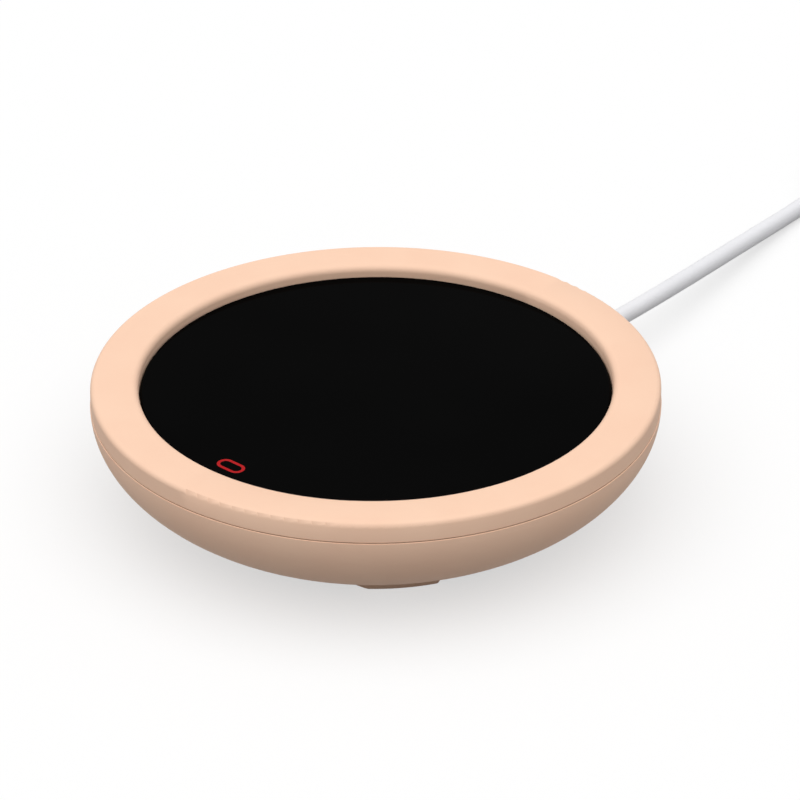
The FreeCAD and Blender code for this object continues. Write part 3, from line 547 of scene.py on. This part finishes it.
def close_tree(tree, geometry, finish):
    """Ends a tree: instances become real faces, and every face gets its finish."""
    real = add(tree, "GeometryNodeRealizeInstances", {0: geometry}).outputs[0]
    dressed = add(tree, "GeometryNodeSetMaterial", {"Geometry": real, "Material": finish})
    add(tree, "NodeGroupOutput", {0: dressed.outputs[0]})


def math_node(tree, operation, first, second=0.0):
    return add(tree, "ShaderNodeMath", {0: first, 1: second}, operation=operation).outputs[0]


def grown(piece_name, mesh, tree, sizes):
    """Runs a tree on a mesh with these sizes, and returns the result as a plain mesh object."""
    seed = bpy.data.objects.new(piece_name + "_seed", mesh)
    bpy.context.scene.collection.objects.link(seed)
    modifier = seed.modifiers.new("grow", "NODES")
    modifier.node_group = tree
    inputs = [item for item in tree.interface.items_tree if item.in_out == "INPUT"]
    sockets = {item.name: item.identifier for item in inputs}
    for size, value in sizes.items():
        modifier[sockets[size]] = value
    bpy.context.view_layer.update()
    shown_seed = seed.evaluated_get(bpy.context.evaluated_depsgraph_get())
    result = bpy.data.meshes.new_from_object(shown_seed)
    seed.modifiers.clear()
    bpy.data.objects.remove(seed)
    piece = bpy.data.objects.new(piece_name, result)
    bpy.context.scene.collection.objects.link(piece)
    print(piece_name, "faces:", len(result.polygons))
    return piece


# %% [markdown]
# ## The feet
# Four equal arc pads of soft rubber are pressed into the underside, each with a long ramp at one end.
# The CAD model holds them as four solids, and one of them, merged and smoothed, is enough: the tree
# puts a copy at every quarter turn, as a mould with four cavities would.

# %% Feet in a ring
FOOT_COUNT = 4
foot_sizes = {"Count": FOOT_COUNT}
tree, size = start_tree("ring_of_feet", foot_sizes)
places = add(tree, "GeometryNodeMeshLine", {
    "Count": size["Count"], "Offset": (0, 0, 0),
}).outputs[0]
step = math_node(tree, "DIVIDE", 2 * math.pi, size["Count"])
index = add(tree, "GeometryNodeInputIndex").outputs[0]
angle = math_node(tree, "MULTIPLY", index, step)
turn = add(tree, "ShaderNodeCombineXYZ", {"Z": angle}).outputs[0]
copies = add(tree, "GeometryNodeInstanceOnPoints", {
    "Points": places, "Instance": size["Geometry"], "Rotation": turn,
}).outputs[0]
close_tree(tree, copies, finishes["peach_foot"])

foot_mesh = nodes["foot_right_front"].data.copy()
feet = grown("foot_pads", foot_mesh, tree, foot_sizes)
smoothed(feet.data, turn_outwards=True)
foot_nodes = ("foot_right_front", "foot_right_rear", "foot_left_rear", "foot_left_front")
stands_for(feet, "peach_foot", *foot_nodes)

# %% [markdown]
# ## The sleeve where the lead leaves
# A tapered rubber sleeve keeps the lead from kinking at the wall. Ring grooves let it bend evenly.
# Its radius follows a rule along its length: a flange inside the wall, then a straight neck, then a
# taper with a groove at every pitch. The tree writes that rule onto the points of a line and sweeps
# a circle along it.

# %% Sleeve sizes, from the CAD model's own
SLEEVE_START = 38 * MM
SLEEVE_TIP = CORD_EXIT.y
WALL_Y = BODY_RADIUS * math.sqrt(1 - ((SEAM_HEIGHT - CORD_HEIGHT) / BOWL_DEPTH) ** 2)
sleeve_sizes = {
    "Length": SLEEVE_TIP - SLEEVE_START, "Wall": WALL_Y - SLEEVE_START, "Flange": 2 * MM,
    "Flange Radius": 4 * MM, "Root Radius": 3.1 * MM, "Tip Radius": 2.6 * MM,
    "First Groove": 5 * MM, "Groove Pitch": 2.6 * MM, "Groove Width": 1.1 * MM,
    "Groove Depth": 0.5 * MM, "Grooves": 5, "Steps": 500,
}
tree, size = start_tree("grooved_sleeve", sleeve_sizes)
point_count = math_node(tree, "ADD", size["Steps"], 1)
line = add(tree, "GeometryNodeMeshLine", {"Count": point_count}).outputs[0]
share = math_node(tree, "DIVIDE", add(tree, "GeometryNodeInputIndex").outputs[0], size["Steps"])
along = math_node(tree, "MULTIPLY", share, size["Length"])
past_wall = math_node(tree, "SUBTRACT", along, size["Wall"])
taper_share = math_node(tree, "MAXIMUM", math_node(
    tree, "DIVIDE", past_wall, math_node(tree, "SUBTRACT", size["Length"], size["Wall"])), 0.0)
fall = math_node(tree, "SUBTRACT", size["Root Radius"], size["Tip Radius"])
lost = math_node(tree, "MULTIPLY", fall, taper_share)
cone = math_node(tree, "SUBTRACT", size["Root Radius"], lost)
print("sleeve reaches", round((SLEEVE_TIP - WALL_Y) / MM, 1), "mm past the wall")

# %% Grooves and flange of the sleeve
past_first = math_node(tree, "SUBTRACT", past_wall, size["First Groove"])
in_pitch = math_node(tree, "MODULO", past_first, size["Groove Pitch"])
groove_end = math_node(tree, "MULTIPLY", size["Grooves"], size["Groove Pitch"])
is_groove = math_node(tree, "LESS_THAN", in_pitch, size["Groove Width"])
is_after = math_node(tree, "GREATER_THAN", past_first, 0.0)
is_before = math_node(tree, "LESS_THAN", past_first, groove_end)
grooved = math_node(tree, "MULTIPLY", is_groove, math_node(tree, "MULTIPLY", is_after, is_before))
cut = math_node(tree, "MULTIPLY", grooved, size["Groove Depth"])
sleeve_radius = math_node(tree, "SUBTRACT", cone, cut)
is_flange = math_node(tree, "LESS_THAN", along, size["Flange"])
flange_more = math_node(tree, "SUBTRACT", size["Flange Radius"], size["Root Radius"])
radius = math_node(tree, "ADD", sleeve_radius, math_node(tree, "MULTIPLY", is_flange, flange_more))
spot = add(tree, "ShaderNodeCombineXYZ", {
    "Y": math_node(tree, "ADD", along, SLEEVE_START), "Z": CORD_HEIGHT,
}).outputs[0]
placed = add(tree, "GeometryNodeSetPosition", {"Geometry": line, "Position": spot}).outputs[0]
curve = add(tree, "GeometryNodeMeshToCurve", {"Mesh": placed}).outputs[0]
circle = add(tree, "GeometryNodeCurvePrimitiveCircle", {
    "Resolution": 48, "Radius": 1.0,
}).outputs[0]
swept = add(tree, "GeometryNodeCurveToMesh", {
    "Curve": curve, "Profile Curve": circle, "Scale": radius, "Fill Caps": True,
}).outputs[0]
close_tree(tree, swept, finishes["cord_white"])
sleeve = grown("relief_sleeve", bpy.data.meshes.new("relief_seed"), tree, sleeve_sizes)
smoothed(sleeve.data, turn_outwards=True)
stands_for(sleeve, "cord_white", "strain_relief")

# %% [markdown]
# ## The touch key: its enamel line and its spring
# The key is only a line of red enamel fired into a shallow groove, so the finger feels flat glass.
# Its path is a capsule, a rectangle whose ends are fully rounded, and a thin flat section swept
# along that path makes the line. Under it a steel spring joins the glass to the board and carries
# the finger's signal: a spiral curve with a round wire swept along it.

# %% Enamel line
key_sizes = {
    "From Middle": 44 * MM, "Length": 6.6 * MM, "Width": 3.6 * MM, "Stroke": 0.7 * MM,
    "Depth": 0.12 * MM, "Top": 25.7 * MM,
}
tree, size = start_tree("enamel_line", key_sizes)
long_side = math_node(tree, "SUBTRACT", size["Length"], size["Stroke"])
short_side = math_node(tree, "SUBTRACT", size["Width"], size["Stroke"])
box = add(tree, "GeometryNodeCurvePrimitiveQuadrilateral", {
    "Width": long_side, "Height": short_side,
}).outputs[0]
capsule = add(tree, "GeometryNodeFilletCurve", {
    "Curve": box, "Count": 12, "Radius": math_node(tree, "MULTIPLY", short_side, 0.499),
}, mode="POLY").outputs[0]
section = add(tree, "GeometryNodeCurvePrimitiveQuadrilateral", {
    "Width": size["Stroke"], "Height": size["Depth"],
}).outputs[0]
line = add(tree, "GeometryNodeCurveToMesh", {"Curve": capsule, "Profile Curve": section}).outputs[0]
half_depth = math_node(tree, "MULTIPLY", size["Depth"], 0.5)
spot = add(tree, "ShaderNodeCombineXYZ", {
    "Y": math_node(tree, "MULTIPLY", size["From Middle"], -1.0),
    "Z": math_node(tree, "SUBTRACT", size["Top"], half_depth),
}).outputs[0]
placed = add(tree, "GeometryNodeTransform", {"Geometry": line, "Translation": spot}).outputs[0]
close_tree(tree, placed, finishes["red_enamel"])
enamel_line = grown("enamel_line", bpy.data.meshes.new("enamel_seed"), tree, key_sizes)
smoothed(enamel_line.data, turn_outwards=True)
stands_for(enamel_line, "red_enamel", "touch_mark")
enamel_top = max(vertex.co.z for vertex in enamel_line.data.vertices)
glass_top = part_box("glass_panel")[1].z
print("enamel top at", round(enamel_top / MM, 3), "mm, glass top at", round(glass_top / MM, 3))

# %% Spring under the key
low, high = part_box("touch_spring")
WIRE_RADIUS = 0.275 * MM
spring_sizes = {
    "Turns": 6.0, "Radius": 2.1 * MM - WIRE_RADIUS, "Wire": WIRE_RADIUS,
    "Height": high.z - low.z - 2 * WIRE_RADIUS,
}
tree, size = start_tree("touch_spring_coil", spring_sizes)
helix = add(tree, "GeometryNodeCurveSpiral", {
    "Resolution": 24, "Rotations": size["Turns"], "Start Radius": size["Radius"],
    "End Radius": size["Radius"], "Height": size["Height"],
}).outputs[0]
wire = add(tree, "GeometryNodeCurvePrimitiveCircle", {
    "Resolution": 12, "Radius": size["Wire"],
}).outputs[0]
coil = add(tree, "GeometryNodeCurveToMesh", {
    "Curve": helix, "Profile Curve": wire, "Fill Caps": True,
}).outputs[0]
middle = (low + high) / 2
placed = add(tree, "GeometryNodeTransform", {
    "Geometry": coil, "Translation": (middle.x, middle.y, low.z + WIRE_RADIUS),
}).outputs[0]
close_tree(tree, placed, finishes["plug_steel"])
spring = grown("touch_spring_coil", bpy.data.meshes.new("spring_seed"), tree, spring_sizes)
smoothed(spring.data, turn_outwards=True)
stands_for(spring, "plug_steel", "touch_spring")

cord_curve.materials.append(finishes["cord_white"])
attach(supply_lead, "root")
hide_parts("power_cord", "cord_coil", "cord_tail")

# %% [markdown]
# ## Light and ground
# The picture's shading tells what lit it. Upright walls are about half as bright as the flat top,
# brightest where they face the camera, and the bowl fades slowly towards its underside. That is a
# wide soft lamp overhead, leaning a little to the front, with an even dome around it and a table
# that sends back a quarter of the light. The table is white to the camera, where part of its own
# shading is kept, so that the warmer still stands in its soft shadow.

# %% Table
table_mesh = bpy.data.meshes.new("studio_table")
TABLE_HALF = 3.0
corners = [(x * TABLE_HALF, y * TABLE_HALF, 0) for x, y in ((-1, -1), (1, -1), (1, 1), (-1, 1))]
table_mesh.from_pydata(corners, [], [(0, 1, 2, 3)])
table = bpy.data.objects.new("studio_table", table_mesh)
bpy.context.scene.collection.objects.link(table)


def seen_directly(tree):
    """1 for rays that the eye follows: straight, mirrored or through something clear."""
    rays = add(tree, "ShaderNodeLightPath").outputs
    first = add(tree, "ShaderNodeMath", {
        0: rays["Is Camera Ray"], 1: rays["Is Glossy Ray"],
    }, operation="MAXIMUM").outputs[0]
    return add(tree, "ShaderNodeMath", {
        0: first, 1: rays["Is Transmission Ray"],
    }, operation="MAXIMUM").outputs[0]


SHADOW_KEPT = 0.4
paper, tree = start_finish("white_table_paper")
dark = add(tree, "ShaderNodeBsdfDiffuse", {"Color": linear("#8C8C8C")}).outputs[0]
white = add(tree, "ShaderNodeBsdfDiffuse", {"Color": linear("#FFFFFF")}).outputs[0]
glow = add(tree, "ShaderNodeEmission", {"Color": linear("#FFFFFF"), "Strength": 1.0}).outputs[0]
shown = add(tree, "ShaderNodeMixShader", {0: SHADOW_KEPT, 1: glow, 2: white}).outputs[0]
ground = add(tree, "ShaderNodeMixShader", {0: seen_directly(tree), 1: dark, 2: shown}).outputs[0]
add(tree, "ShaderNodeOutputMaterial", {"Surface": ground})
table_mesh.materials.append(paper)
print("table ready")

# %% White dome and overhead lamp
DOME_LEVEL = 0.4
LAMP_LEVEL = 1.94
LAMP_WIDTH = math.radians(90)
LAMP_LEAN = (math.radians(12.4), math.radians(6.5), 0)
world = bpy.data.worlds.new("studio")
bpy.context.scene.world = world
world.use_nodes = True
world.node_tree.nodes.clear()
tree = world.node_tree
dome = add(tree, "ShaderNodeBackground", {"Color": linear("#FFFFFF"), "Strength": DOME_LEVEL})
backdrop = add(tree, "ShaderNodeBackground", {"Color": linear("#FFFFFF"), "Strength": 1.0})
sky = add(tree, "ShaderNodeMixShader", {
    0: seen_directly(tree), 1: dome.outputs[0], 2: backdrop.outputs[0],
}).outputs[0]
add(tree, "ShaderNodeOutputWorld", {"Surface": sky})

lamp_data = bpy.data.lights.new("overhead_softbox", "SUN")
lamp_data.energy = LAMP_LEVEL
lamp_data.angle = LAMP_WIDTH
lamp = bpy.data.objects.new("overhead_softbox", lamp_data)
lamp.rotation_euler = LAMP_LEAN
bpy.context.scene.collection.objects.link(lamp)
bpy.context.scene.view_settings.view_transform = "Standard"
print("dome", DOME_LEVEL, "lamp", LAMP_LEVEL)
